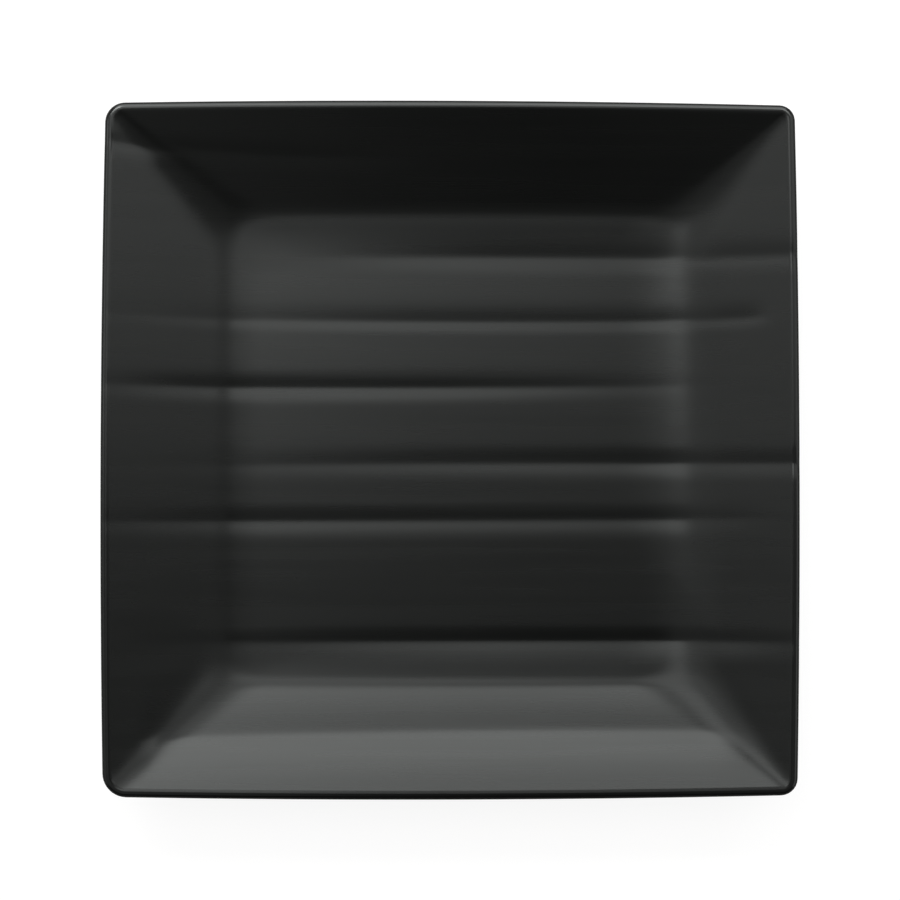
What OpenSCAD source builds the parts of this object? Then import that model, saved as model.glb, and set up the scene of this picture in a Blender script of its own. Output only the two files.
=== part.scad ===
// Square dinner plate: a one-piece moulded body with a rounded lip and a foot ring,
// and a satin coat over its grooved food side.
// The origin is on the table under the middle of the plate, +Y is the back and +X the right.

/* [Plate] */
// Width across the middle of the sides
plate_w = 267; // [235:1:320]
// Height from the table to the crown of the lip
plate_h = 27; // [23:0.5:33]
// Thickness of the floor, the walls and the lip, with the coat
wall_t = 5; // [4:0.1:6]
// How far a corner falls back from the middle of its sides
side_bow = 1.3; // [0:0.1:3]

/* [Corners] */
// Outline radius at the front left
front_left_r = 9; // [6:0.1:11]
// Outline radius at the front right
front_right_r = 6.5; // [6:0.1:11]
// Outline radius at the back right
back_right_r = 6; // [5.6:0.1:11]
// Outline radius at the back left
back_left_r = 7.5; // [6:0.1:11]

/* [Well] */
// From the middle of the plate to the foot of the left wall
well_left = 90.4; // [72:0.1:110]
// From the middle of the plate to the foot of the right wall
well_right = 96.6; // [72:0.1:110]
// From the middle of the plate to the foot of the front wall
well_front = 91.5; // [72:0.1:110]
// From the middle of the plate to the foot of the back wall
well_back = 97.4; // [72:0.1:110]

/* [Mitres] */
// Length over which the front and left walls round into each other, at the well
front_left_mitre = 19.2; // [6:0.1:40]
// Length over which the front and right walls round into each other, at the well
front_right_mitre = 28.9; // [6:0.1:40]
// Length over which the back and right walls round into each other, at the well
back_right_mitre = 24.5; // [6:0.1:40]
// Length over which the back and left walls round into each other, at the well
back_left_mitre = 23.2; // [6:0.1:40]

/* [Bends] */
// Length over which the floor bends up into the left wall
left_bend = 17.6; // [3:0.1:44]
// Length over which the floor bends up into the right wall
right_bend = 29.9; // [3:0.1:44]
// Length over which the floor bends up into the front wall, at its left end
front_left_bend = 4.0; // [3:0.1:44]
// Length over which the floor bends up into the front wall, at its right end
front_right_bend = 4.6; // [3:0.1:44]
// Length over which the floor bends up into the back wall
back_bend = 22.2; // [3:0.1:44]
// Width of the strip of floor that already rises before the left wall
left_strip = 18.3; // [6:0.1:56]
// Width of the strip of floor that already rises before the right wall
right_strip = 35.8; // [6:0.1:56]
// Width of the strip of floor that already rises before the front wall
front_strip = 13.1; // [6:0.1:56]
// Width of the strip of floor that already rises before the back wall
back_strip = 28.7; // [6:0.1:56]
// Length over which the base bends up into the walls, outside
under_bend = 20; // [8:0.5:26]

/* [Grooves] */
// Depth of a groove at its deepest
groove_d = 0.87; // [0.2:0.01:1.5]
// Width of a groove from shoulder to shoulder
groove_w = 24.9; // [8:0.1:40]
// Rounding of a groove's crease
groove_r = 1.8; // [0.5:0.1:4]
// How steeply a groove's sides fall to the crease, 1 for straight sides
groove_power = 2.92; // [1:0.01:4]

/* [Coat] */
// Thickness of the satin coat on the food side
coat_t = 0.3; // [0.25:0.05:0.8]

/* [Foot] */
// Height of the foot ring
foot_h = 2; // [1.5:0.1:4]
// Width of the ring's tread with its two rounded edges
foot_w = 5; // [3.5:0.1:8]
// Radius of the ring's two bottom edges
foot_edge_r = 1; // [0.4:0.1:1.4]
// Outline radius of the ring
foot_corner_r = 16; // [9:0.5:24]
// How far the ring stands in from the feet of the walls
foot_inset = 7; // [3:0.5:10]

/* [Hidden] */

// The rising strips' shares of the walls' slope: left and right, then front and back
strip_shares = [[0.214, 0.311], [0.332, 0.223]];

// A mitre's length at the lip as a share of the rounding there, so that the crown stays level
round_share = 1.35;

// Grooves from front to back, in shares of the reach, the depth and the width. Each row holds
// the groove's place, its tilt and its sag across the plate, then from left to right where it
// starts, is full, wanes and ends, its depth, and its width behind and before the crease.
groove_shares = [
    [-0.8339,  0.0087, -0.0205, -0.93, -0.87,  0.74,  0.91,  0.99,  2.50,  1.94],
    [-0.5673,  0.0017, -0.0081, -1.05,  0.21,  0.63,  1.23,  1.00,  0.54,  1.34],
    [-0.2088,  0.0037, -0.0024, -1.26, -0.49,  0.59,  1.00,  0.43,  0.74,  0.81],
    [-0.0388,  0.0041, -0.0076, -1.26,  1.05,  1.10,  1.20,  0.49,  0.72,  0.70],
    [ 0.1871,  0.0056,  0.0078, -1.13, -0.68, -0.20,  0.96,  0.49,  0.74,  0.68],
    [ 0.3839, -0.0029,  0.0148, -1.32,  0.16,  0.88,  0.96,  0.43,  0.93,  0.46],
    [ 0.5786, -0.0025,  0.0009, -0.56,  0.26,  1.10,  1.20,  0.55,  1.19,  0.96],
    [ 0.8580,  0.0000,  0.0500, -1.20, -1.10, -0.49, -0.02,  0.58,  0.89,  0.60]
];

// How the lip is rounded: half of the wall, rolled over from the slope of the walls
lip_r = wall_t / 2;
mean_foot = (well_left + well_right + well_front + well_back) / 4;
lip_tilt = atan((plate_h - foot_h - wall_t) / (plate_w / 2 - mean_foot));
lip_w = lip_r * (1 + sin(lip_tilt));

// The food side, inside the lip: half its width, its floor and its edge
reach = plate_w / 2 - lip_w;
floor_z = foot_h + wall_t;
rise = plate_h - lip_r * (1 - cos(lip_tilt)) - floor_z;
feet = [[well_left, well_right], [well_front, well_back]];
well_mitres = [[front_left_mitre, back_left_mitre], [front_right_mitre, back_right_mitre]];
widest_mitre = max(front_left_mitre, front_right_mitre, back_left_mitre, back_right_mitre);
strips = [[left_strip, right_strip], [front_strip, back_strip]];
well_mid = [(well_right - well_left) / 2, (well_back - well_front) / 2];
mean_run = reach - mean_foot;
under_half = under_bend / 2 / mean_run;
corner_rs = [[front_left_r, back_left_r], [front_right_r, back_right_r]];
widest_r = max(front_left_r, front_right_r, back_left_r, back_right_r) - lip_w;

// Steps of the mesh: row spacing, and counts round a corner, the lip and across each column band
row_step = 5.5;
corner_steps = 5;
lip_steps = 6;
column_counts = [4, 3, 2, 6, 3, 4, 4];

// A value held between 0 and 1, and the same eased at both ends
function held(v) = max(0, min(1, v));
function eased(v) = let (h = held(v)) h * h * (3 - 2 * h);

// The larger of two values, rounded where they are closer than k
function soft_max(p, q, k) = let (h = max(k - abs(p - q), 0) / k) max(p, q) + pow(h, 3) * k / 6;

// A place's side of the well, 0 for left or front and 1 for right or back,
// and how far up that wall it lies: 0 at the foot of the wall, 1 at its top
function side(v, axis) = v < well_mid[axis] ? 0 : 1;
function wall_level(v, axis) =
    let (k = side(v, axis), f = feet[axis][k]) ((2 * k - 1) * v - f) / (reach - f);

// How wide two walls round into each other, and the level of a point, mitred at the corners
function mitre(s, t, p, q) =
    let (i = side(s, 0), j = side(t, 1), lip_mitre = round_share * (corner_rs[i][j] - lip_w))
    (well_mitres[i][j] + (lip_mitre - well_mitres[i][j]) * held(max(p, q))) / mean_run;
function level(s, t) =
    let (p = wall_level(s, 0), q = wall_level(t, 1)) soft_max(p, q, mitre(s, t, p, q));

// The bend from flat to slope, and the strip that rises slowly before it, both smooth at their ends
function ramp(h) = pow(h, 3) * (1 - h / 2);
function bent_up(m, half) = m > half ? m : 2 * half * ramp(held((m + half) / (2 * half)));
function slow_rise(m, strip) = m > 0 ? m + strip / 2 : strip * ramp(held((m + strip) / strip));

// Height of the dish over its floor. Near a mitre the values of its two walls mix.
function front_bend(s) = let (u = held((1 + s / reach) / 2)) front_left_bend * (1 - u) + front_right_bend * u;
function bends(s) = [[left_bend, right_bend], [front_bend(s), back_bend]];
function mixed(sides, s, t, mix) = sides[0][side(s, 0)] * mix + sides[1][side(t, 1)] * (1 - mix);
function dish_rise(s, t) =
    let (p = wall_level(s, 0), q = wall_level(t, 1), k = mitre(s, t, p, q))
    let (m = soft_max(p, q, k), mix = eased((1 + (p - q) / k) / 2))
    let (half = mixed(bends(s), s, t, mix) / 2 / mean_run, strip = mixed(strips, s, t, mix) / mean_run)
    let (share = mixed(strip_shares, s, t, mix))
    rise * ((1 - share) * bent_up(m, half) + share * slow_rise(m, strip)) / (1 + share * strip / 2);

// A groove's centre line, how strong it is along its length, and its cut below the dish
function groove_line(g, s) = let (u = s / reach) reach * (g[0] + g[1] * u + g[2] * u * u);
function groove_share(g, s) =
    let (u = s / reach) g[7] * eased((u - g[3]) / (g[4] - g[3])) * eased((g[6] - u) / (g[6] - g[5]));
function groove_fall(off, flank) =
    let (soft = groove_r / flank)
    let (away = (sqrt(pow(off / flank, 2) + soft * soft) - soft) / (sqrt(1 + soft * soft) - soft))
    away < 1 ? pow(1 - away, groove_power) : 0;
function groove_cut(g, s, t) =
    let (off = t - groove_line(g, s))
    groove_d * groove_share(g, s) * groove_fall(off, groove_w / 2 * (off > 0 ? g[8] : g[9]));
function grooves(s, t, i = 0) =
    i == len(groove_shares) ? 0 : groove_cut(groove_shares[i], s, t) + grooves(s, t, i + 1);

// Heights of the food side, and of the smooth underside
function top_z(s, t) = floor_z + dish_rise(s, t) - grooves(s, t);
function under_z(s, t) =
    let (m = level(s, t), slope = held((m + under_half) / (2 * under_half)))
    floor_z + rise * bent_up(m, under_half) - wall_t * (1 + (1 / cos(lip_tilt) - 1) * slope);

// A point of the straight square moved to the bowed one
function bowed(s, t) =
    let (b = side_bow / pow(reach, 3)) [s * (1 - b * t * t), t * (1 - b * s * s)];

// Half of a row's length, shorter round a corner, and the direction out of the row's end
function end_r(side, t) = corner_rs[side < 0 ? 0 : 1][t < 0 ? 0 : 1] - lip_w;
function end_rise(side, t) = let (r = end_r(side, t)) held((abs(t) - reach + r) / r);
function row_half(side, t) =
    let (r = end_r(side, t)) reach - r + r * sqrt(1 - pow(end_rise(side, t), 2));
function row_out(side, t) =
    let (up = end_rise(side, t)) [side * sqrt(1 - up * up), up * sign(t)];

// Places between two ends, closer together near both
function spaced(n) = [for (i = [0 : n - 1]) (i / n + (1 - cos(180 * i / n)) / 2) / 2];

// Rows: round the front corners, from line to line, and round the back corners. The lines are
// the edges, the grooves and, each between its two grooves, the feet of the front and back walls.
// A row is a line's number and the share of the way to the next one.
edge = reach - widest_r;
gap_share = 0.2;
function kept_between(v, a, b) = let (w = (b - a) * gap_share) max(a + w, min(b - w, v));
last_g = len(groove_shares) - 1;
front_line = [kept_between(-well_front / reach, groove_shares[0][0], groove_shares[1][0]), 0, 0];
back_line = [kept_between(well_back / reach, groove_shares[last_g - 1][0], groove_shares[last_g][0]), 0, 0];
lines = concat(
    [[-edge / reach, 0, 0], groove_shares[0], front_line],
    [for (i = [1 : last_g - 1]) groove_shares[i]],
    [back_line, groove_shares[last_g], [edge / reach, 0, 0]]
);
function row_count(i) = max(3, ceil((lines[i + 1][0] - lines[i][0]) * reach / row_step));
corner_ts = [for (i = [0 : corner_steps - 1]) edge + widest_r * sin(90 * (i + 1) / corner_steps)];
line_rows = [
    for (i = [0 : len(lines) - 2]) for (v = spaced(row_count(i))) [i, v]
];
rows = concat(
    [for (i = [corner_steps - 1 : -1 : 0]) [-corner_ts[i]]],
    line_rows,
    [[edge]],
    [for (t = corner_ts) [t]]
);
function row_t(row, s) =
    len(row) == 1 ? row[0]
    : groove_line(lines[row[0]], s) * (1 - row[1]) + groove_line(lines[row[0] + 1], s) * row[1];

// Columns: walls, bends, rising strips and floor, as shares of a row's half
column_stops = [
    -reach,
    -well_left - left_bend / 2,
    -well_left + left_bend / 2,
    -well_left + max(left_strip, left_bend),
    well_right - max(right_strip, right_bend),
    well_right - right_bend / 2,
    well_right + right_bend / 2,
    reach
];
columns = concat(
    [
        for (i = [0 : len(column_counts) - 1]) for (k = [0 : column_counts[i] - 1])
            (column_stops[i] + (column_stops[i + 1] - column_stops[i]) * k / column_counts[i]) / reach
    ],
    [1]
);
last_i = len(columns) - 1;
last_j = len(rows) - 1;

// Points of the straight square, row by row
grid = [
    for (row = rows) for (u = columns)
        let (s = u * row_half(u, row_t(row, 0))) [s, row_t(row, s)]
];
function at(i, j) = j * (last_i + 1) + i;

// The square's rim, anticlockwise from the front left, and the direction out of it
rim = concat(
    [for (i = [0 : last_i - 1]) at(i, 0)],
    [for (j = [0 : last_j - 1]) at(last_i, j)],
    [for (i = [last_i : -1 : 1]) at(i, last_j)],
    [for (j = [last_j : -1 : 1]) at(0, j)]
);
rim_out = concat(
    [for (i = [0 : last_i - 1]) [0, -1]],
    [for (j = [0 : last_j - 1]) row_out(1, grid[at(last_i, j)].y)],
    [for (i = [last_i : -1 : 1]) [0, 1]],
    [for (j = [last_j : -1 : 1]) row_out(-1, grid[at(0, j)].y)]
);
rim_n = len(rim);

// The food side as points, at a depth below its surface
function face_points(depth) = [
    for (g = grid) let (p = bowed(g.x, g.y)) [p.x, p.y, top_z(g.x, g.y) - depth]
];

// The lip rolls from the edge of the food side over to the underside of the wall.
// A groove that meets it dips its crown, and runs out round the nose.
function lip_ring(k) = [
    for (i = [0 : rim_n - 1])
        let (g = grid[rim[i]], p = bowed(g.x, g.y), turn = 90 + lip_tilt - 180 * k / lip_steps)
        let (out = lip_r * (sin(lip_tilt) + cos(turn)), up = lip_r * (sin(turn) - cos(lip_tilt)))
        let (dip = grooves(g.x, g.y) * k / lip_steps)
        [p.x + rim_out[i].x * out, p.y + rim_out[i].y * out, top_z(g.x, g.y) + dip + up]
];

// The underside at one level of the walls, down to where the base is flat
function drawn_in(v, axis, m) =
    let (k = side(v, axis), mid = well_mid[axis], f = feet[axis][k])
    let (half = f - (2 * k - 1) * mid, run = reach - f)
    mid + (v - mid) * (half + m * run) / (half + run);
function under_ring(m) = [
    for (i = rim)
        let (s = drawn_in(grid[i].x, 0, m), t = drawn_in(grid[i].y, 1, m))
        let (p = bowed(s, t)) [p.x, p.y, under_z(s, t)]
];
flat_level = -under_half - widest_mitre / mean_run / 6;
under_levels = [
    (1 + under_half) / 2, under_half, under_half / 3, -under_half / 3, -under_half, flat_level
];

// Triangles of the food side, their diagonals along the mitres
function leans(i, j) =
    (columns[i] + columns[i + 1]) * (grid[at(0, j)].y + grid[at(0, j + 1)].y) > 0;
function cell(a, b, c, d, lean) = lean ? [[a, b, c], [a, c, d]] : [[a, b, d], [b, c, d]];
face_triangles = [
    for (j = [0 : last_j - 1]) for (i = [0 : last_i - 1])
        each cell(at(i, j), at(i, j + 1), at(i + 1, j + 1), at(i + 1, j), leans(i, j))
];
function flipped(faces) = [for (f = faces) [f[2], f[1], f[0]]];
function moved(faces, n) = [for (f = faces) [f[0] + n, f[1] + n, f[2] + n]];

// Triangles between two closed rings of the rim's length
function band(a, b) = [
    for (i = [0 : rim_n - 1]) let (k = (i + 1) % rim_n)
        each [[a[i], a[k], b[k]], [a[i], b[k], b[i]]]
];
function ring_ids(first) = [for (i = [0 : rim_n - 1]) first + i];
function bands(ids) = [for (i = [0 : len(ids) - 2]) each band(ids[i], ids[i + 1])];

// The moulded shell under the coat: rebated food side, lip, walls and base
module shell() {
    rings = concat([for (k = [0 : lip_steps]) lip_ring(k)], [for (m = under_levels) under_ring(m)]);
    face = face_points(coat_t);
    ids = concat([rim], [for (i = [0 : len(rings) - 1]) ring_ids(len(face) + i * rim_n)]);
    points = concat(face, [for (ring = rings) each ring]);
    polyhedron(points, concat(face_triangles, bands(ids), [ids[len(ids) - 1]]));
}

// The foot ring's section, its tread at the bottom
foot_sink = wall_t / 3;
module foot_section() {
    top = foot_h + foot_sink;
    translate([0, foot_edge_r]) square([foot_w, top - foot_edge_r]);
    translate([foot_edge_r, 0]) square([foot_w - 2 * foot_edge_r, top]);
    for (x = [foot_edge_r, foot_w - foot_edge_r]) translate([x, foot_edge_r]) circle(foot_edge_r);
}

// The ring under the edge of the well: four straight runs and four turned corners
module foot_ring() {
    half = [for (pair = feet) (pair[0] + pair[1]) / 2 - foot_inset];
    for (k = [0 : 3]) rotate(90 * k) {
        out = half[k % 2];
        straight = half[(k + 1) % 2] - foot_corner_r;
        translate([out - foot_w, 0, 0]) rotate([90, 0, 0])
            linear_extrude(2 * straight, center = true) foot_section();
        translate([out - foot_corner_r, straight, 0]) rotate_extrude(angle = 90, $fn = 96)
            translate([foot_corner_r - foot_w, 0]) foot_section();
    }
}

module plate_body() {
    color([0.07, 0.07, 0.07]) {
        shell();
        translate([well_mid.x, well_mid.y, 0]) foot_ring();
    }
}

// The coat fills the rebate of the body and ends where the lip begins to roll
module satin_coat() {
    n = len(grid);
    sides = band(rim, [for (i = rim) i + n]);
    underside = moved(flipped(face_triangles), n);
    color([0.16, 0.16, 0.15])
        polyhedron(concat(face_points(0), face_points(coat_t)), concat(face_triangles, sides, underside));
}

plate_body();
satin_coat();
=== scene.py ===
# Square dinner plate in black melamine: satin coat on a grooved dish, rounded lip, foot ring
from math import atan, atan2, ceil, cos, pi, radians, sin, sqrt
import bpy
import bmesh
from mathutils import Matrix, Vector, noise


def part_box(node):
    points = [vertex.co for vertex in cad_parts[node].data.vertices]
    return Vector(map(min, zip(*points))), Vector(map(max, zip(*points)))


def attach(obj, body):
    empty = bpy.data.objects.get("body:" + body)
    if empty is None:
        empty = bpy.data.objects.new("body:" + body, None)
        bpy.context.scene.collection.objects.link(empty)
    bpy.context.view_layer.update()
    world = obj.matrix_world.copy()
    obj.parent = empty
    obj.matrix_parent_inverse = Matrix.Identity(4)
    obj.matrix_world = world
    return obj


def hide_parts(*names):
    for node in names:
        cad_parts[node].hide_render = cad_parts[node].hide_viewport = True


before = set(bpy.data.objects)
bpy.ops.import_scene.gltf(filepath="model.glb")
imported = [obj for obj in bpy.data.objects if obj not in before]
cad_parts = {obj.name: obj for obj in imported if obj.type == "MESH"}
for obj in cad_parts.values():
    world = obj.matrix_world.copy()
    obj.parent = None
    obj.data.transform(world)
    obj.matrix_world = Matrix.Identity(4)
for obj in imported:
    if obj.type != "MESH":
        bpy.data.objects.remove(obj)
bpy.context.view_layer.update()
bodyLow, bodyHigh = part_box("plate_body")
print("frame loaded:", sorted(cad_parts))

# How far the meshes stay inside the construction's box
margin = {"side": 0.00001, "top": 0.00005}

# The dish, in metres, as the construction has it
dish = {
    "half": (bodyHigh.x - bodyLow.x) / 2 - margin["side"],  # half the width, at mid-side
    "crown": bodyHigh.z - margin["top"],  # top of the lip
    "wall": 0.005,  # thickness, with the coat
    "coat": 0.0003,
    "bow": 0.0013,  # how far a corner falls back
    "cornerRadii": {(-1, -1): 0.009, (1, -1): 0.0065, (1, 1): 0.006, (-1, 1): 0.0075},
    "wellMitres": {(-1, -1): 0.0192, (1, -1): 0.0289, (1, 1): 0.0245, (-1, 1): 0.0232},
    "roundShare": 1.35,  # mitre at the lip, in shares of its rounding
    "underBlend": 0.020,  # base into wall, outside
    "footHeight": 0.002,
}

# The construction's walls, left and right, then front and back: the foot's distance from the middle,
# the bend there at its two ends, the strip of floor that already rises before it and the strip's
# share of the slope; the underside and the foot ring follow these
walls = (
    ({"foot": 0.0904, "bend": (0.0176, 0.0176), "strip": 0.0183, "share": 0.214},
     {"foot": 0.0966, "bend": (0.0299, 0.0299), "strip": 0.0358, "share": 0.311}),
    ({"foot": 0.0915, "bend": (0.0040, 0.0046), "strip": 0.0131, "share": 0.332},
     {"foot": 0.0974, "bend": (0.0222, 0.0222), "strip": 0.0287, "share": 0.223}),
)

# The walls as the face shows them, with clearer feet at the left, the front and the back
faceWalls = (
    ({"foot": 0.0904, "bend": (0.0150, 0.0150), "strip": 0.0170, "share": 0.170}, walls[0][1]),
    ({"foot": 0.0902, "bend": (0.0060, 0.0040), "strip": 0.0131, "share": 0.235},
     {"foot": 0.0938, "bend": (0.0070, 0.0070), "strip": 0.0287, "share": 0.155}),
)

# Grooves from front to back, six of them a little steeper than the construction's. A row holds, in
# shares of the reach, the place, tilt and sag, then where the groove starts, is full, wanes and ends;
# last come the shares of the depth and of the width behind and before it
groove = {
    "depth": 0.00087,
    "flank": 0.0124,       # half of the width
    "round": 0.0018,       # rounding of the crease
    "power": 2.92,         # how steeply the sides fall to it, 1 for straight sides
    "shares": [
        (-0.8339, 0.0087, -0.0205, -0.93, -0.87, 0.74, 0.91, 0.99, 2.50, 1.60),
        (-0.5673, 0.0017, -0.0081, -1.05, 0.21, 0.63, 1.23, 1.03, 0.54, 1.12),
        (-0.2088, 0.0037, -0.0024, -1.26, -0.49, 0.59, 1.00, 0.48, 0.66, 0.81),
        (-0.0388, 0.0041, -0.0076, -1.13, 1.05, 1.10, 1.20, 0.60, 0.68, 0.68),
        (0.1871, 0.0056, 0.0078, -1.13, -0.68, -0.20, 0.96, 0.55, 0.74, 0.62),
        (0.3839, -0.0029, 0.0148, -1.32, 0.16, 0.88, 0.96, 0.43, 0.93, 0.46),
        (0.5786, -0.0025, 0.0009, -0.56, 0.26, 1.10, 1.20, 0.58, 1.19, 0.70),
        (0.8580, 0.0000, 0.0500, -1.20, -1.10, -0.49, -0.02, 0.58, 0.89, 0.60),
    ],
}

# Faint unevenness of the pressed face
ripple = {"height": 0.000020, "across": 7.0, "along": 95.0, "seed": 3.7, "fade": 0.01}

# How finely the face is divided
mesh = {"rowStep": 0.0011, "wallStep": 0.0018, "bendStep": 0.0012, "floorStep": 0.0032,
        "leastRows": 4, "cornerRows": 10, "lipSteps": 14}

meanFoot = sum(wall["foot"] for pair in walls for wall in pair) / 4
wellMid = tuple((pair[1]["foot"] - pair[0]["foot"]) / 2 for pair in walls)
lipRadius = dish["wall"] / 2
lipTilt = atan((dish["crown"] - dish["footHeight"] - dish["wall"]) / (dish["half"] - meanFoot))
lipWidth = lipRadius * (1 + sin(lipTilt))
reach = dish["half"] - lipWidth
floorHeight = dish["footHeight"] + dish["wall"]
rise = dish["crown"] - lipRadius * (1 - cos(lipTilt)) - floorHeight
meanRun = reach - meanFoot
underBend = dish["underBlend"] / 2 / meanRun


def held(value):
    return max(0.0, min(1.0, value))


def eased(value):
    h = held(value)
    return h * h * (3 - 2 * h)


def softMax(p, q, k):
    h = max(k - abs(p - q), 0) / k
    return max(p, q) + h ** 3 * k / 6


def wallAt(place, axis, shown=walls):
    # the wall on this side, and how far up it the place lies: 0 at its foot, 1 at its top
    side = 0 if place < wellMid[axis] else 1
    wall = shown[axis][side]
    return wall, (place * (-1, 1)[side] - wall["foot"]) / (reach - wall["foot"])


def mitreAt(s, t, p, q):
    corner = tuple(-1 if place < mid else 1 for place, mid in zip((s, t), wellMid))
    well = dish["wellMitres"][corner]
    lip = dish["roundShare"] * (dish["cornerRadii"][corner] - lipWidth)
    return (well + (lip - well) * held(max(p, q))) / meanRun


def level(s, t):
    p, q = wallAt(s, 0)[1], wallAt(t, 1)[1]
    return softMax(p, q, mitreAt(s, t, p, q))


def ramp(h):
    return h ** 3 * (1 - h / 2)


def bentUp(m, half):
    return m if m > half else 2 * half * ramp(held((m + half) / (2 * half)))


def slowRise(m, strip):
    return m + strip / 2 if m > 0 else strip * ramp(held((m + strip) / strip))


def dishRise(s, t):
    # height of the ungrooved face over the floor; near a mitre the two walls' values mix
    (wallX, p), (wallY, q) = wallAt(s, 0, faceWalls), wallAt(t, 1, faceWalls)
    mitre = mitreAt(s, t, p, q)
    m = softMax(p, q, mitre)
    mix = eased(0.5 + (p - q) / (2 * mitre))
    strip, share = (wallX[k] * mix + wallY[k] * (1 - mix) for k in ("strip", "share"))
    along = held((1 + s / reach) / 2)
    bendY = wallY["bend"][0] * (1 - along) + wallY["bend"][1] * along
    bend = wallX["bend"][0] * mix + bendY * (1 - mix)
    strip /= meanRun
    up = (1 - share) * bentUp(m, bend / 2 / meanRun) + share * slowRise(m, strip)
    return rise * up / (1 + share * strip / 2)


def grooveLine(g, s):
    place, tilt, sag = g[:3]
    u = s / reach
    return reach * (place + tilt * u + sag * u * u)


def grooveStrength(g, s):
    start, full, wane, end, depth = g[3:8]
    u = s / reach
    return depth * eased((u - start) / (full - start)) * eased((end - u) / (end - wane))


def grooveFall(off, flank):
    # 1 in the crease, 0 at the end of the flank
    soft = groove["round"] / flank
    away = (sqrt((off / flank) ** 2 + soft ** 2) - soft) / (sqrt(1 + soft ** 2) - soft)
    return (1 - away) ** groove["power"] if away < 1 else 0.0


def grooves(s, t):
    cut = 0.0
    for g in groove["shares"]:
        off = t - grooveLine(g, s)
        behind, before = g[8:]
        flank = groove["flank"] * (behind if off > 0 else before)
        if abs(off) < flank:
            cut += groove["depth"] * grooveStrength(g, s) * grooveFall(off, flank)
    return cut


def unevenness(s, t):
    at = Vector((s * ripple["across"], t * ripple["along"], ripple["seed"]))
    return ripple["height"] * noise.noise(at) * eased((reach - max(abs(s), abs(t))) / ripple["fade"])


def topHeight(s, t):
    return floorHeight + dishRise(s, t) - grooves(s, t)


def underHeight(s, t):
    m = level(s, t)
    slope = held((m + underBend) / (2 * underBend))
    thickness = dish["wall"] * (1 + (1 / cos(lipTilt) - 1) * slope)
    return floorHeight + rise * bentUp(m, underBend) - thickness


def bowed(s, t):
    b = dish["bow"] / reach ** 3
    return s * (1 - b * t * t), t * (1 - b * s * s)


def endRadius(side, t):
    return dish["cornerRadii"][(side, -1 if t < 0 else 1)] - lipWidth


def endRise(side, t):
    r = endRadius(side, t)
    return held((abs(t) - reach + r) / r)


def rowHalf(side, t):
    r = endRadius(side, t)
    return reach - r + r * sqrt(1 - endRise(side, t) ** 2)


# Rows run from groove to groove, so a mesh edge lies in every crease
widestRadius = max(dish["cornerRadii"].values()) - lipWidth
cornerStart = reach - widestRadius
straightStops = (-cornerStart, -faceWalls[1][0]["foot"], faceWalls[1][1]["foot"], cornerStart)
rowStops = sorted([g[:3] for g in groove["shares"]] + [(y / reach, 0, 0) for y in straightStops])


def rowPlace(row, s):
    if len(row) == 1:
        return row[0]
    i, share = row
    return grooveLine(rowStops[i], s) * (1 - share) + grooveLine(rowStops[i + 1], s) * share


def makeRows():
    n = mesh["cornerRows"]
    corner = [cornerStart + widestRadius * sin(pi / 2 * (i + 1) / n) for i in range(n)]
    made = [(-t,) for t in reversed(corner)]
    for i in range(len(rowStops) - 1):
        gap = (rowStops[i + 1][0] - rowStops[i][0]) * reach
        count = max(mesh["leastRows"], ceil(gap / mesh["rowStep"]))
        for k in range(count):
            even, crowded = k / count, (1 - cos(pi * k / count)) / 2
            made.append((i, (even * 2 + crowded) / 3))  # a little closer together beside the creases
    made.append((cornerStart,))
    return made + [(t,) for t in corner]


def makeColumns():
    # walls, bends and floor, in shares of a row's half
    left, right = faceWalls[0]
    stops = [(-reach, mesh["wallStep"]), (-left["foot"] - left["bend"][0] / 2, mesh["bendStep"]),
             (-left["foot"] + left["strip"], mesh["floorStep"]),
             (right["foot"] - right["strip"], mesh["wallStep"]), (reach, 0)]
    made = []
    for (a, step), (b, _) in zip(stops, stops[1:]):
        count = ceil((b - a) / step)
        made += [(a + (b - a) * k / count) / reach for k in range(count)]
    return made + [1.0]


rows = makeRows()
columns = makeColumns()
lastRow, lastColumn = len(rows) - 1, len(columns) - 1


def straightPoint(i, j):
    u = columns[i]
    side = -1 if u < 0 else 1
    s = u * rowHalf(side, rowPlace(rows[j], 0))
    return s, rowPlace(rows[j], s)


def makeRim():
    rim = [(i, 0) for i in range(lastColumn)]
    rim += [(lastColumn, j) for j in range(lastRow)]
    rim += [(i, lastRow) for i in range(lastColumn, 0, -1)]
    return rim + [(0, j) for j in range(lastRow, 0, -1)]


rim = makeRim()
rimNumber = {key: k for k, key in enumerate(rim)}
straight = {(i, j): straightPoint(i, j) for j in range(lastRow + 1) for i in range(lastColumn + 1)}
heights = {key: topHeight(*st) + unevenness(*st) for key, st in straight.items()}
print("face divided:", lastColumn, "columns,", lastRow, "rows")


def rimOut(key):
    # direction out of the square at one point of its rim
    i, j = key
    if 0 < i < lastColumn:
        return Vector((0, -1 if j == 0 else 1))
    side = -1 if i == 0 else 1
    t = straight[key][1]
    up = endRise(side, t)
    return Vector((side * sqrt(1 - up * up), up if t > 0 else -up))


def gridFace(depth):
    bm = bmesh.new()
    bmesh.ops.create_grid(bm, x_segments=lastColumn, y_segments=lastRow, size=1)
    rimLayer = bm.verts.layers.int.new("rim")
    for v in bm.verts:
        key = (round((v.co.x + 1) / 2 * lastColumn), round((v.co.y + 1) / 2 * lastRow))
        v.co = (*bowed(*straight[key]), heights[key] - depth)
        v[rimLayer] = rimNumber.get(key, -1)
    return bm, rimLayer


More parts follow.
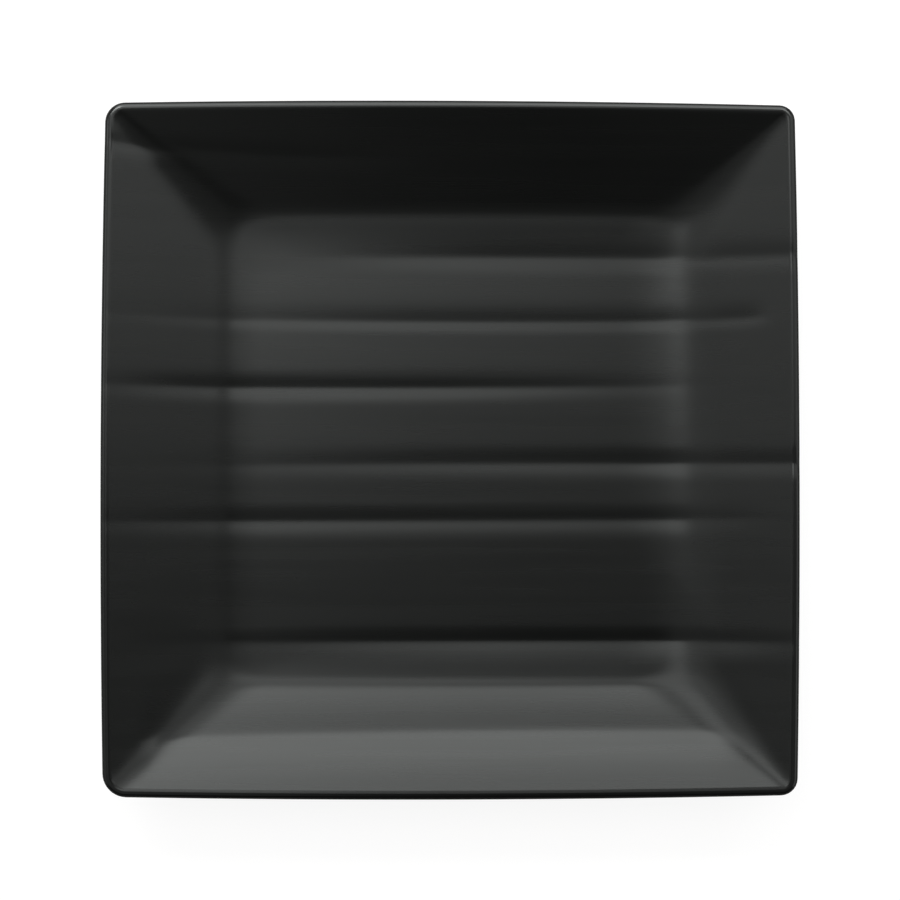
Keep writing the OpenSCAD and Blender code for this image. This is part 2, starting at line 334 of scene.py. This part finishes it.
def finishPiece(bm, name, node, material):
    for f in bm.faces:
        f.smooth = True
    made = bpy.data.meshes.new(name)
    bm.to_mesh(made)
    bm.free()
    piece = bpy.data.objects.new(name, made)
    bpy.context.scene.collection.objects.link(piece)
    made.materials.append(material)
    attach(piece, "root")
    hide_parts(node)
    print("made", name, "with", len(made.polygons), "faces")


def boundaryEdges(bm):
    return [e for e in bm.edges if e.is_boundary]


# Satin coat
def makeCoat(material):
    bm = gridFace(0)[0]
    lower = bmesh.ops.duplicate(bm, geom=bm.faces[:])["geom"]
    lowerFaces = [g for g in lower if isinstance(g, bmesh.types.BMFace)]
    lowerVerts = [g for g in lower if isinstance(g, bmesh.types.BMVert)]
    bmesh.ops.translate(bm, vec=(0, 0, -dish["coat"]), verts=lowerVerts)
    bmesh.ops.reverse_faces(bm, faces=lowerFaces)
    rims = boundaryEdges(bm)
    bmesh.ops.bridge_loops(bm, edges=rims)
    for e in rims:
        e.smooth = False
    finishPiece(bm, "satinCoat", "satin_coat", material)


# Moulded body: the lip, the underside and the foot ring follow the rim of the face
foot = {
    "width": 0.005,
    "edge": 0.001,          # rounding of the tread
    "corner": 0.016,
    "inset": 0.007,         # in from the foot of the walls
    "fillet": 0.0008,       # between ring and base
    "flat": 6,              # fillets from the ring to the flat panel inside it
    "edgeSteps": 5,
}
under = {"wallSteps": 5, "blendSteps": 10, "blendReach": 1.4}  # rings down the wall and round its bend


def lipRing(k):
    # one step round the nose of the lip
    turn = pi / 2 + lipTilt - pi * k / mesh["lipSteps"]
    out = lipRadius * (sin(lipTilt) + cos(turn))
    up = lipRadius * (sin(turn) - cos(lipTilt))
    ring = []
    for key in rim:
        x, y = bowed(*straight[key])
        away = rimOut(key) * out
        dip = grooves(*straight[key]) * k / mesh["lipSteps"]
        ring.append((x + away.x, y + away.y, heights[key] + dip + up))
    return ring


def drawnIn(place, axis, m):
    wall, mid = wallAt(place, axis)[0], wellMid[axis]
    half = wall["foot"] - (mid if place > mid else -mid)
    run = reach - wall["foot"]
    return mid + (place - mid) * (half + m * run) / (half + run)


def underRing(m):
    ring = []
    for key in rim:
        s, t = (drawnIn(place, axis, m) for axis, place in enumerate(straight[key]))
        ring.append((*bowed(s, t), underHeight(s, t)))
    return ring


footHalf = [(pair[0]["foot"] + pair[1]["foot"]) / 2 - foot["inset"] for pair in walls]


def footPoint(key, inward):
    # a point of the foot ring's outline, moved inward
    point = [abs(v) / reach * half for v, half in zip(straight[key], footHalf)]
    over = [v - half + foot["corner"] for v, half in zip(point, footHalf)]
    if min(over) > 0:
        turn = atan2(over[1], over[0])
        way = (cos(turn), sin(turn))
        turned = foot["corner"] - inward
        point = [half - foot["corner"] + turned * v for half, v in zip(footHalf, way)]
    else:
        axis = 0 if over[0] > over[1] else 1
        point[axis] = footHalf[axis] - inward
    return tuple(mid + (-v if at < 0 else v) for mid, v, at in zip(wellMid, point, straight[key]))


def footProfile():
    # inward and height, down the outer side, over the tread and up the inner side to the base
    quarter = [pi / 2 * k / foot["edgeSteps"] for k in range(foot["edgeSteps"] + 1)]
    r, w, top, f = foot["edge"], foot["width"], dish["footHeight"], foot["fillet"]
    outer = [(r - r * cos(a), r - r * sin(a)) for a in quarter]
    inner = [(w - x, z) for x, z in reversed(outer)]
    base = [(w + f - f * cos(a), top - f + f * sin(a)) for a in quarter]
    return outer + inner + base


def extrudeRing(bm, edges, rimLayer, ring):
    # carry the open edge of the shell on to the next ring
    made = bmesh.ops.extrude_edge_only(bm, edges=edges)["geom"]
    for v in (g for g in made if isinstance(g, bmesh.types.BMVert)):
        v.co = ring[v[rimLayer]]
    return [g for g in made if isinstance(g, bmesh.types.BMEdge)]


def sortParts(bm):
    # extruding leaves the edges and faces in another order each run
    bm.verts.index_update()
    for parts in (bm.edges, bm.faces):
        ordered = sorted(parts, key=lambda part: sorted(v.index for v in part.verts))
        for k, part in enumerate(ordered):
            part.index = k
        parts.sort()


def makeBody(material):
    bm, rimLayer = gridFace(dish["coat"])
    edges = boundaryEdges(bm)
    rings = [lipRing(k) for k in range(mesh["lipSteps"] + 1)]
    n = under["wallSteps"]
    levels = [1 - (1 - underBend) * k / n for k in range(1, n + 1)]
    n = under["blendSteps"]
    levels += [underBend - under["blendReach"] * underBend * k / n for k in range(1, n + 1)]
    rings += [underRing(m) for m in levels]
    shoulder = [footPoint(key, 0) for key in rim]
    rings.append([(x, y, underHeight(x, y)) for x, y in shoulder])
    for inward, height in footProfile():
        rings.append([(*footPoint(key, inward), height) for key in rim])
    panel = foot["width"] + foot["flat"] * foot["fillet"]
    rings.append([(*footPoint(key, panel), dish["footHeight"]) for key in rim])
    edges = extrudeRing(bm, edges, rimLayer, rings[0])
    for e in edges:
        e.smooth = False  # a crisp line where the coat ends
    for ring in rings[1:]:
        edges = extrudeRing(bm, edges, rimLayer, ring)
    bmesh.ops.contextual_create(bm, geom=edges)
    sortParts(bm)
    finishPiece(bm, "plateBody", "plate_body", material)


# Materials
def addNode(tree, kind, values=None, **settings):
    made = tree.nodes.new(kind)
    for name, value in settings.items():
        setattr(made, name, value)
    for name, value in (values or {}).items():
        made.inputs[name].default_value = value
    return made


def newMaterial(name):
    material = bpy.data.materials.new(name)
    material.use_nodes = True
    return material, material.node_tree, material.node_tree.nodes["Principled BSDF"]


# Noise that both pieces share: streaks along the grooves, clouds and fine grain
noises = {
    "Streaks": {"stretch": (5, 170, 40), "scale": 1.0, "detail": 3.0},
    "Clouds": {"stretch": (1, 1.5, 1), "scale": 16.0, "detail": 4.0},
    "Grain": {"stretch": (1, 1, 1), "scale": 1300.0, "detail": 2.0},
}
noiseSpan = (0.3, 0.7)  # most of a noise lies between these


def makeGrain():
    group = bpy.data.node_groups.new("pressedGrain", "ShaderNodeTree")
    ends = group.nodes.new("NodeGroupOutput")
    place = group.nodes.new("ShaderNodeTexCoord")
    for name, look in noises.items():
        group.interface.new_socket(name, in_out="OUTPUT", socket_type="NodeSocketFloat")
        stretch = addNode(group, "ShaderNodeMapping", {"Scale": look["stretch"]})
        sizes = {"Scale": look["scale"], "Detail": look["detail"]}
        texture = addNode(group, "ShaderNodeTexNoise", sizes)
        group.links.new(place.outputs["Object"], stretch.inputs["Vector"])
        group.links.new(stretch.outputs["Vector"], texture.inputs["Vector"])
        group.links.new(texture.outputs["Fac"], ends.inputs[name])
    return group


grain = makeGrain()


def ranged(tree, source, low, high, toLow, toHigh):
    span = {"From Min": low, "From Max": high, "To Min": toLow, "To Max": toHigh}
    made = addNode(tree, "ShaderNodeMapRange", span)
    tree.links.new(source, made.inputs["Value"])
    return made.outputs["Result"]


def mixedColour(tree, share, first, second):
    made = addNode(tree, "ShaderNodeMix", data_type="RGBA")
    for socket, value in zip((s for s in made.inputs if s.type == "RGBA"), (first, second)):
        if isinstance(value, tuple):
            socket.default_value = (*value, 1)
        else:
            tree.links.new(value, socket)
    tree.links.new(share, made.inputs["Factor"])
    return next(s for s in made.outputs if s.type == "RGBA")


def maths(tree, operation, first, second):
    made = addNode(tree, "ShaderNodeMath", operation=operation)
    for socket, value in zip(made.inputs, (first, second)):
        if isinstance(value, (int, float)):
            socket.default_value = value
        else:
            tree.links.new(value, socket)
    return made.outputs["Value"]


def bumped(tree, shader, height, distance):
    made = addNode(tree, "ShaderNodeBump", {"Strength": 1.0, "Distance": distance})
    tree.links.new(height, made.inputs["Height"])
    tree.links.new(made.outputs["Normal"], shader.inputs["Normal"])


# Satin coat of the face
coatSet = {
    "dark": (0.0050, 0.0054, 0.0050),
    "light": (0.0074, 0.0078, 0.0074),
    "tint": (0.965, 1.0, 0.98, 1),   # of the reflections
    "rough": (0.245, 0.295),
    "bump": 0.0000012,
}


def makeCoatMaterial():
    material, tree, shader = newMaterial("satinBlack")
    pattern = addNode(tree, "ShaderNodeGroup", node_tree=grain).outputs
    colour = mixedColour(tree, pattern["Clouds"], coatSet["dark"], coatSet["light"])
    tree.links.new(colour, shader.inputs["Base Color"])
    rough = ranged(tree, pattern["Streaks"], *noiseSpan, *coatSet["rough"])
    tree.links.new(rough, shader.inputs["Roughness"])
    shader.inputs["Specular Tint"].default_value = coatSet["tint"]
    bumped(tree, shader, pattern["Grain"], coatSet["bump"])
    return material


# Bare moulding of lip and underside: polished round the lip, scuffed on the tread of the foot
bodySet = {
    "dark": (0.0060, 0.0063, 0.0060),
    "light": (0.0100, 0.0104, 0.0100),
    "scuff": (0.045, 0.045, 0.044),
    "tint": (0.965, 1.0, 0.98, 1),
    "rough": (0.38, 0.46),
    "lipRough": 0.20,
    "lip": (0.0215, 0.0240),         # heights where the polish starts and is full
    "tread": (0.0009, 0.0001),       # heights where the scuffing starts and is full
    "patches": (0.40, 0.62),         # part of the clouds that the scuffing follows
    "worn": (0.15, 0.9),             # least and most of it
    "bump": 0.000004,
}


def makeBodyMaterial():
    material, tree, shader = newMaterial("mouldedBlack")
    pattern = addNode(tree, "ShaderNodeGroup", node_tree=grain).outputs
    place = addNode(tree, "ShaderNodeTexCoord")
    parts = addNode(tree, "ShaderNodeSeparateXYZ")
    tree.links.new(place.outputs["Object"], parts.inputs["Vector"])
    lip = ranged(tree, parts.outputs["Z"], *bodySet["lip"], 0, 1)
    tread = ranged(tree, parts.outputs["Z"], *bodySet["tread"], 0, 1)
    patches = ranged(tree, pattern["Clouds"], *bodySet["patches"], *bodySet["worn"])
    worn = maths(tree, "MULTIPLY", tread, patches)
    colour = mixedColour(tree, pattern["Clouds"], bodySet["dark"], bodySet["light"])
    tree.links.new(mixedColour(tree, worn, colour, bodySet["scuff"]), shader.inputs["Base Color"])
    rough = ranged(tree, pattern["Clouds"], *noiseSpan, *bodySet["rough"])
    polished = addNode(tree, "ShaderNodeMix", {"B": bodySet["lipRough"]})
    tree.links.new(lip, polished.inputs["Factor"])
    tree.links.new(rough, polished.inputs["A"])
    tree.links.new(polished.outputs["Result"], shader.inputs["Roughness"])
    shader.inputs["Specular Tint"].default_value = bodySet["tint"]
    matt = maths(tree, "SUBTRACT", 1.0, lip)
    bumped(tree, shader, maths(tree, "MULTIPLY", pattern["Grain"], matt), bodySet["bump"])
    return material


makeCoat(makeCoatMaterial())
makeBody(makeBodyMaterial())

# Floor: a pale table, brighter to the camera than to the plate
floorSet = {"half": 3.0, "colour": (0.20, 0.20, 0.197), "rough": 0.8, "glow": 0.90}


def makeFloor():
    bm = bmesh.new()
    bmesh.ops.create_grid(bm, x_segments=1, y_segments=1, size=floorSet["half"])
    made = bpy.data.meshes.new("floor")
    bm.to_mesh(made)
    bm.free()
    floor = bpy.data.objects.new("floor", made)
    bpy.context.scene.collection.objects.link(floor)
    material, tree, shader = newMaterial("paleFloor")
    shader.inputs["Base Color"].default_value = (*floorSet["colour"], 1)
    shader.inputs["Roughness"].default_value = floorSet["rough"]
    shader.inputs["Specular IOR Level"].default_value = 0.0
    shader.inputs["Emission Color"].default_value = (1, 1, 1, 1)
    path = addNode(tree, "ShaderNodeLightPath")
    glow = maths(tree, "MULTIPLY", path.outputs["Is Camera Ray"], floorSet["glow"])
    tree.links.new(glow, shader.inputs["Emission Strength"])
    made.materials.append(material)
    print("floor laid")


makeFloor()

# Camera: nearly straight down, a little from the front and the left
camera = {"lens": 100.0, "sensor": 36.0, "frameWidth": 0.34277, "tiltFront": 1.75, "tiltLeft": 1.43,
          "aim": (-0.00054, -0.00057)}


def makeCamera():
    data = bpy.data.cameras.new("camera")
    data.lens = camera["lens"]
    data.sensor_width = camera["sensor"]
    eye = bpy.data.objects.new("camera", data)
    bpy.context.scene.collection.objects.link(eye)
    eye.rotation_euler = (radians(camera["tiltFront"]), radians(-camera["tiltLeft"]), 0)
    away = camera["frameWidth"] * camera["lens"] / camera["sensor"]
    aim = Vector((*camera["aim"], dish["crown"]))
    eye.location = aim + eye.rotation_euler.to_matrix() @ Vector((0, 0, away))
    bpy.context.scene.camera = eye
    print("camera set", round(away, 3), "m away")


makeCamera()

# Light: softbox panels over the plate and low panels round it; those that overlap hang at
# slightly different heights
light = {
    "paleWorld": 0.95,
    "panels": {
        "nearLeft": {"at": (-1.65, 0.30, 2.00), "size": (1.94, 0.40), "brightness": 0.73},
        "nearMid": {"at": (0.11, 0.30, 2.00), "size": (1.58, 0.40), "brightness": 0.66},
        "nearRight": {"at": (1.93, 0.30, 2.00), "size": (2.06, 0.40), "brightness": 0.82},
        "farLeft": {"at": (-1.65, 1.03, 2.00), "size": (1.94, 1.06), "brightness": 0.72},
        "farMid": {"at": (0.11, 1.16, 2.00), "size": (1.58, 1.32), "brightness": 0.42},
        "farRight": {"at": (1.93, 1.03, 2.00), "size": (2.06, 1.06), "brightness": 1.18},
        "sideLeft": {"at": (-3.91, 0.83, 2.00), "size": (2.58, 1.46), "brightness": 1.72},
        "key": {"at": (-0.40, 0.95, 1.97), "size": (0.56, 1.74), "brightness": 1.56},
        "mid": {"at": (0.06, 0.67, 1.94), "size": (0.36, 0.66), "brightness": 1.38},
        "leftLow": {"at": (-1.24, -0.05, 2.00), "size": (1.12, 0.30), "brightness": 0.41},
        "backBank": {"at": (-0.29, 3.07, 2.00), "size": (2.38, 2.49), "brightness": 3.71},
        "backLeft": {"at": (-1.70, 2.15, 1.97), "size": (1.60, 1.10), "brightness": 8.59},
        "backRight": {"at": (1.65, 2.15, 2.00), "size": (1.50, 1.10), "brightness": 4.99},
        "leftFill": {"at": (-1.34, -1.60, 2.00), "size": (2.44, 2.80), "brightness": 0.24},
        "rightFill": {"at": (1.45, -1.09, 2.00), "size": (2.11, 1.95), "brightness": 0.15},
        "lowBack": {"at": (0.00, 4.40, 1.07), "size": (6.00, 2.05), "brightness": 2.40,
                    "turn": (-90, 0)},
        "lowLeft": {"at": (-4.40, 0.00, 1.07), "size": (2.05, 6.00), "brightness": 0.45,
                    "turn": (0, -90)},
        "lowRight": {"at": (4.40, 0.00, 1.07), "size": (2.05, 6.00), "brightness": 0.90,
                     "turn": (0, 90)},
    },
}


def makeLights():
    for name, panel in light["panels"].items():
        data = bpy.data.lights.new(name, "AREA")
        data.shape = "RECTANGLE"
        data.size, data.size_y = panel["size"]
        data.energy = pi * data.size * data.size_y * panel["brightness"]
        box = bpy.data.objects.new(name, data)
        box.location = panel["at"]
        box.rotation_euler = (*(radians(turn) for turn in panel.get("turn", (0, 0))), 0)
        box.visible_camera = False
        bpy.context.scene.collection.objects.link(box)
    print("hung", len(light["panels"]), "panels")


def makeWorld():
    # pale to the camera, dark to the plate
    world = bpy.data.worlds.new("studio")
    bpy.context.scene.world = world
    world.use_nodes = True
    tree = world.node_tree
    path = addNode(tree, "ShaderNodeLightPath")
    pale = maths(tree, "MULTIPLY", path.outputs["Is Camera Ray"], light["paleWorld"])
    tree.nodes["Background"].inputs["Color"].default_value = (1, 1, 1, 1)
    tree.links.new(pale, tree.nodes["Background"].inputs["Strength"])


makeLights()
makeWorld()
bpy.context.scene.view_settings.view_transform = "Standard"
